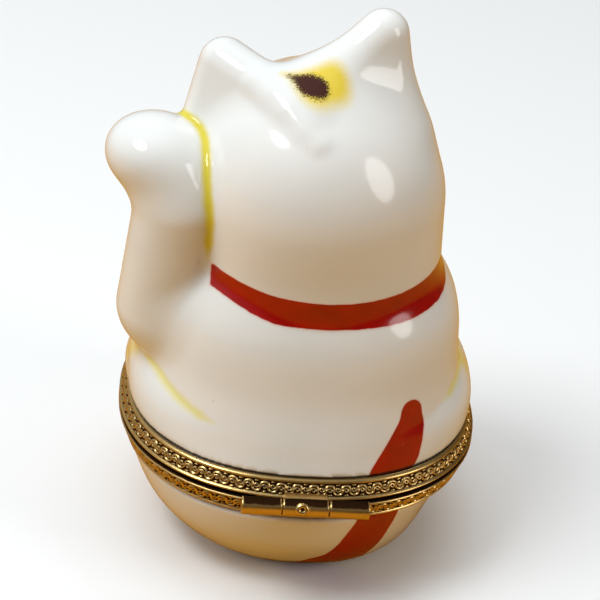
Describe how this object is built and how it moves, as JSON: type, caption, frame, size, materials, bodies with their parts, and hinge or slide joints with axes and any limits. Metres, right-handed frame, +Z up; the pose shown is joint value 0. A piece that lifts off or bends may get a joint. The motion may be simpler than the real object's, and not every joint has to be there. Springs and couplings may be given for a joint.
{
  "type": "hinged trinket box",
  "caption": "Beckoning cat figurine in glazed porcelain that opens at a brass-mounted seam, with a hinged lid and a hollow base.",
  "frame": {"origin": "centre of the flat foot, on the surface that the box stands on", "axes": "+Z up; the cat faces -Y with its raised left paw at +X; the hinge is at +Y and the clasp at -Y"},
  "size_m": [0.049, 0.049, 0.0694],
  "materials": {
    "white_glaze": "gloss",
    "antique_brass": "satin"
  },
  "bodies": {
    "base": {"base_porcelain": "white_glaze", "base_band": "antique_brass", "base_rim": "antique_brass", "base_hinge_knuckle_left": "antique_brass", "base_hinge_knuckle_right": "antique_brass", "hinge_pin": "antique_brass", "base_clasp_catch": "antique_brass"},
    "lid": {"lid_porcelain": "white_glaze", "lid_band": "antique_brass", "lid_rim": "antique_brass", "lid_hinge_knuckle": "antique_brass", "lid_clasp": "antique_brass"}
  },
  "joints": [
    {"name": "lid_hinge", "type": "hinge", "parent": "base", "child": "lid", "pos_m": [0, 0.0237, 0.0157], "axis": [-1, 0, 0], "range_deg": [0, 95]}
  ]
}
